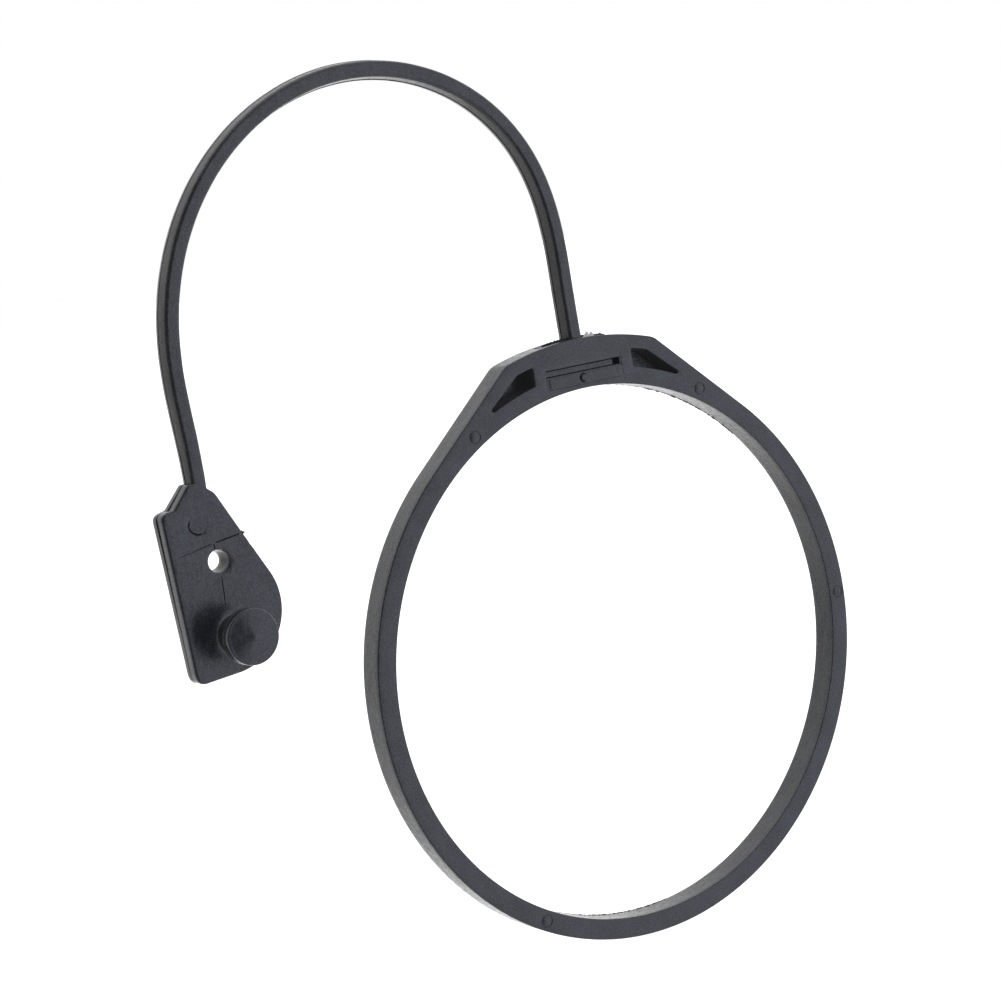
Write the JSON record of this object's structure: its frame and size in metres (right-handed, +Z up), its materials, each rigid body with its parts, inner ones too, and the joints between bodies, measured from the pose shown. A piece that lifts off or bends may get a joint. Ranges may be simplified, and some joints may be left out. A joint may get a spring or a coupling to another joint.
{
  "type": "filler cap retaining strap",
  "caption": "Flat moulded ring for a filler cap with a thickened head, and a flexible looped strap that ends in a flat plate with a push-in plug.",
  "frame": {"origin": "on the cap ring's back face, in the middle of the ring's width at its lowest point", "axes": "+Z up along the head's centre line to the strap's root, -Y out of the face the plug stands on, +X away from the end plate"},
  "size_m": [0.0922, 0.0082, 0.1092],
  "materials": {
    "ring_plastic": "matte moulded, fine spark-eroded grain",
    "tether_plastic": "matte to satin moulded"
  },
  "bodies": {
    "ring": {"cap_ring": "ring_plastic", "strap_foot": "tether_plastic"},
    "link_01": {"strap_link_01": "tether_plastic"},
    "link_02": {"strap_link_02": "tether_plastic"},
    "link_03": {"strap_link_03": "tether_plastic"},
    "link_04": {"strap_link_04": "tether_plastic"},
    "link_05": {"strap_link_05": "tether_plastic"},
    "link_06": {"strap_link_06": "tether_plastic"},
    "link_07": {"strap_link_07": "tether_plastic"},
    "link_08": {"strap_link_08": "tether_plastic"},
    "link_09": {"strap_link_09": "tether_plastic"},
    "link_10": {"strap_link_10": "tether_plastic"},
    "link_11": {"strap_link_11": "tether_plastic"},
    "link_12": {"strap_link_12": "tether_plastic"},
    "link_13": {"strap_link_13": "tether_plastic"},
    "link_14": {"strap_link_14": "tether_plastic"},
    "link_15": {"strap_link_15": "tether_plastic"},
    "link_16": {"strap_link_16": "tether_plastic"},
    "link_17": {"strap_link_17": "tether_plastic"},
    "link_18": {"strap_link_18": "tether_plastic"},
    "link_19": {"strap_link_19": "tether_plastic"},
    "link_20": {"strap_link_20": "tether_plastic"},
    "plate": {"end_plate": "tether_plastic"}
  },
  "joints": [
    {"name": "strap_swing", "type": "hinge", "parent": "ring", "child": "link_01", "pos_m": [-0.00003, -0.00165, 0.0735], "axis": [-0.0236, 0, 0.9997], "range_deg": [-20, 20], "stiffness_Nm_per_rad": 0.024},
    {"name": "strap_swing_02", "type": "hinge", "parent": "link_01", "child": "link_02", "pos_m": [-0.00018, -0.00165, 0.07873], "axis": [-0.0339, 0, 0.9994], "range_deg": [-20, 20], "stiffness_Nm_per_rad": 0.024},
    {"name": "strap_coil_head_03", "type": "hinge", "parent": "link_02", "child": "link_03", "pos_m": [-0.00039, -0.00165, 0.08397], "axis": [0, -1, 0], "range_deg": [-10.44, 0.58], "stiffness_Nm_per_rad": 0.045},
    {"name": "strap_side_bend_04", "type": "hinge", "parent": "link_03", "child": "link_04", "pos_m": [-0.00104, -0.00165, 0.08916], "axis": [0.9794, 0, 0.2018], "range_deg": [-16.2, 16.2], "stiffness_Nm_per_rad": 0.037},
    {"name": "strap_coil_head", "type": "hinge", "parent": "link_04", "child": "link_05", "pos_m": [-0.00268, -0.00165, 0.09412], "axis": [0, -1, 0], "range_deg": [-20.78, 1.14], "stiffness_Nm_per_rad": 0.045},
    {"name": "strap_coil_head_06", "type": "hinge", "parent": "link_05", "child": "link_06", "pos_m": [-0.00548, -0.00165, 0.09853], "axis": [0, -1, 0], "range_deg": [-14.27, 0.79], "stiffness_Nm_per_rad": 0.045},
    {"name": "strap_coil_head_07", "type": "hinge", "parent": "link_06", "child": "link_07", "pos_m": [-0.00928, -0.00165, 0.10211], "axis": [0, -1, 0], "range_deg": [-13.32, 0.73], "stiffness_Nm_per_rad": 0.045},
    {"name": "strap_coil_top", "type": "hinge", "parent": "link_07", "child": "link_08", "pos_m": [-0.01381, -0.00165, 0.10473], "axis": [0, -1, 0], "range_deg": [-18.22, 1], "stiffness_Nm_per_rad": 0.045},
    {"name": "strap_swing_09", "type": "hinge", "parent": "link_08", "child": "link_09", "pos_m": [-0.01879, -0.00165, 0.10631], "axis": [-0.979, 0, 0.2039], "range_deg": [-20, 20], "stiffness_Nm_per_rad": 0.024},
    {"name": "strap_coil_top_10", "type": "hinge", "parent": "link_09", "child": "link_10", "pos_m": [-0.02399, -0.00165, 0.10686], "axis": [0, -1, 0], "range_deg": [-17.24, 0.95], "stiffness_Nm_per_rad": 0.045},
    {"name": "strap_coil_top_11", "type": "hinge", "parent": "link_10", "child": "link_11", "pos_m": [-0.02919, -0.00165, 0.10636], "axis": [0, -1, 0], "range_deg": [-11.07, 0.61], "stiffness_Nm_per_rad": 0.045},
    {"name": "strap_coil_top_12", "type": "hinge", "parent": "link_11", "child": "link_12", "pos_m": [-0.0342, -0.00165, 0.10487], "axis": [0, -1, 0], "range_deg": [-10.62, 0.59], "stiffness_Nm_per_rad": 0.045},
    {"name": "strap_coil_plate", "type": "hinge", "parent": "link_12", "child": "link_13", "pos_m": [-0.03885, -0.00165, 0.10248], "axis": [0, -1, 0], "range_deg": [-15.47, 0.85], "stiffness_Nm_per_rad": 0.045},
    {"name": "strap_side_bend", "type": "hinge", "parent": "link_13", "child": "link_14", "pos_m": [-0.043, -0.00165, 0.0993], "axis": [-0.6773, 0, 0.7357], "range_deg": [-18, 18], "stiffness_Nm_per_rad": 0.037},
    {"name": "strap_coil_plate_15", "type": "hinge", "parent": "link_14", "child": "link_15", "pos_m": [-0.04652, -0.00165, 0.09543], "axis": [0, -1, 0], "range_deg": [-15.39, 0.85], "stiffness_Nm_per_rad": 0.045},
    {"name": "strap_coil_plate_16", "type": "hinge", "parent": "link_15", "child": "link_16", "pos_m": [-0.04929, -0.00165, 0.09099], "axis": [0, -1, 0], "range_deg": [-10.06, 0.56], "stiffness_Nm_per_rad": 0.045},
    {"name": "strap_coil_plate_17", "type": "hinge", "parent": "link_16", "child": "link_17", "pos_m": [-0.05124, -0.00165, 0.08614], "axis": [0, -1, 0], "range_deg": [-9.78, 0.54], "stiffness_Nm_per_rad": 0.045},
    {"name": "strap_coil_plate_18", "type": "hinge", "parent": "link_17", "child": "link_18", "pos_m": [-0.05234, -0.00165, 0.08103], "axis": [0, -1, 0], "range_deg": [-12.25, 0.68], "stiffness_Nm_per_rad": 0.045},
    {"name": "plate_twist_19", "type": "hinge", "parent": "link_18", "child": "link_19", "pos_m": [-0.05264, -0.00165, 0.0758], "axis": [0.0139, 0, -0.9999], "range_deg": [-20, 20], "stiffness_Nm_per_rad": 0.024},
    {"name": "plate_twist_20", "type": "hinge", "parent": "link_19", "child": "link_20", "pos_m": [-0.05242, -0.00165, 0.07057], "axis": [0.0617, 0, -0.9981], "range_deg": [-20, 20], "stiffness_Nm_per_rad": 0.024},
    {"name": "plate_twist", "type": "hinge", "parent": "link_20", "child": "plate", "pos_m": [-0.05221, -0.00165, 0.06534], "axis": [0.0089, 0, -1], "range_deg": [-20, 20], "stiffness_Nm_per_rad": 0.024}
  ],
  "couplings": [
    {"joint": "strap_swing_02", "follows": "strap_swing", "ratio": 1},
    {"joint": "strap_coil_head_03", "follows": "strap_coil_head", "ratio": 0.50231},
    {"joint": "strap_side_bend_04", "follows": "strap_side_bend", "ratio": -0.9},
    {"joint": "strap_coil_head_06", "follows": "strap_coil_head", "ratio": 0.68661},
    {"joint": "strap_coil_head_07", "follows": "strap_coil_head", "ratio": 0.64101},
    {"joint": "strap_swing_09", "follows": "strap_swing", "ratio": 1},
    {"joint": "strap_coil_top_10", "follows": "strap_coil_top", "ratio": 0.9462},
    {"joint": "strap_coil_top_11", "follows": "strap_coil_top", "ratio": 0.60754},
    {"joint": "strap_coil_top_12", "follows": "strap_coil_top", "ratio": 0.58257},
    {"joint": "strap_coil_plate_15", "follows": "strap_coil_plate", "ratio": 0.99429},
    {"joint": "strap_coil_plate_16", "follows": "strap_coil_plate", "ratio": 0.65002},
    {"joint": "strap_coil_plate_17", "follows": "strap_coil_plate", "ratio": 0.63215},
    {"joint": "strap_coil_plate_18", "follows": "strap_coil_plate", "ratio": 0.79147},
    {"joint": "plate_twist_19", "follows": "plate_twist", "ratio": 1},
    {"joint": "plate_twist_20", "follows": "plate_twist", "ratio": 1}
  ]
}
